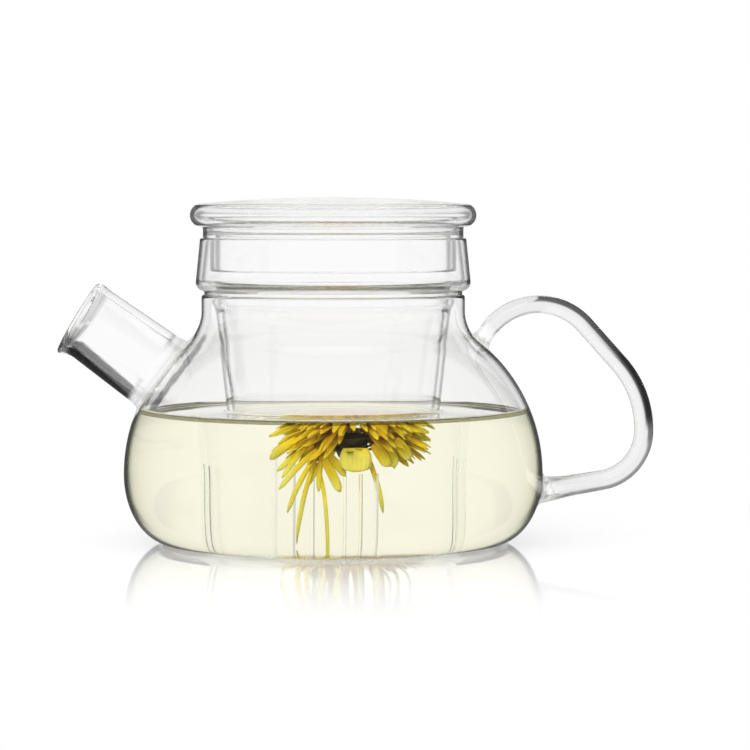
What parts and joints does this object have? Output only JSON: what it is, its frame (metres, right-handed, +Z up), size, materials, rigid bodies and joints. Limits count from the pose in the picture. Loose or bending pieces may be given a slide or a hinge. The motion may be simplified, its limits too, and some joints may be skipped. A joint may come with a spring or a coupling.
{
  "type": "glass teapot",
  "caption": "Clear blown-glass teapot with a straight side spout, a bent rod handle, a lift-out slotted glass infuser and a hollow lid, holding flower tea.",
  "frame": {"origin": "centre of the flat base, on the pot's axis", "axes": "+Z up along the pot's axis, -X towards the spout, +X towards the handle"},
  "size_m": [0.1785, 0.1256, 0.1033],
  "materials": {
    "pot_glass": "polished",
    "infuser_glass": "polished",
    "lid_glass": "polished",
    "tea_liquid": "gloss",
    "petal_yellow": "satin",
    "calyx_green": "matte"
  },
  "bodies": {
    "pot": {"pot_body": "pot_glass", "spout": "pot_glass", "handle": "pot_glass", "tea": "tea_liquid"},
    "infuser": {"infuser": "infuser_glass", "flower_petals": "petal_yellow", "flower_calyx": "calyx_green"},
    "lid": {"lid": "lid_glass"}
  },
  "joints": [
    {"name": "infuser_lift", "type": "slide", "parent": "pot", "child": "infuser", "axis": [0, 0, 1], "range_m": [0, 0.085], "deforming": ["tea"]},
    {"name": "lid_lift", "type": "slide", "parent": "infuser", "child": "lid", "axis": [0, 0, 1], "range_m": [0, 0.045]}
  ]
}
